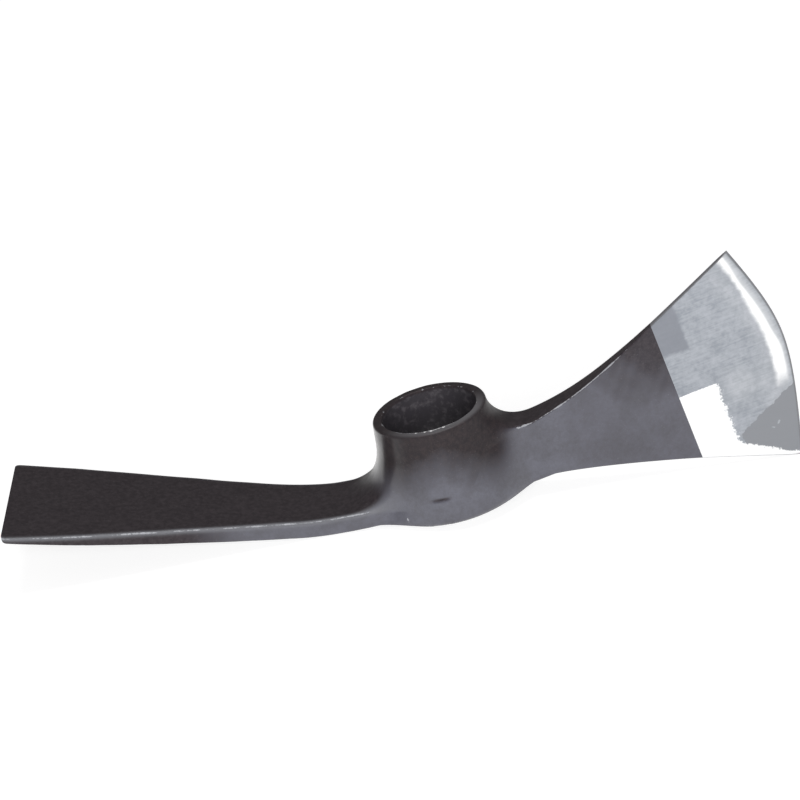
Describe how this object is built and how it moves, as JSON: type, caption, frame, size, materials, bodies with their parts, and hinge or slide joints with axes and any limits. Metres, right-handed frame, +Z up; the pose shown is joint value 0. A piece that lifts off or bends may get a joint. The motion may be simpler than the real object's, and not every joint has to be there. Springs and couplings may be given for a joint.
{
  "type": "mattock head",
  "caption": "Mattock head with a round eye for a handle, a broad adze blade bent towards the handle on one side and a flared axe blade with a bright ground edge on the other.",
  "frame": {"origin": "middle of the eye's bore, half way along it", "axes": "+X along the head towards the axe, +Y across the head along the adze's edge, +Z straight up from the bench that the head lies on; the bore leans 6.8 degrees from +Z towards the adze"},
  "size_m": [0.3375, 0.0698, 0.0975],
  "materials": {
    "black_lacquer": "semi-gloss black lacquer over forged steel, rubbed bright along the edges",
    "ground_steel": "bright ground steel with a honed bevel"
  },
  "bodies": {
    "root": {"eye_socket": "black_lacquer", "adze_blade": "black_lacquer", "adze_bit": "black_lacquer", "axe_blade": "black_lacquer", "axe_bit": "ground_steel"}
  },
  "joints": []
}
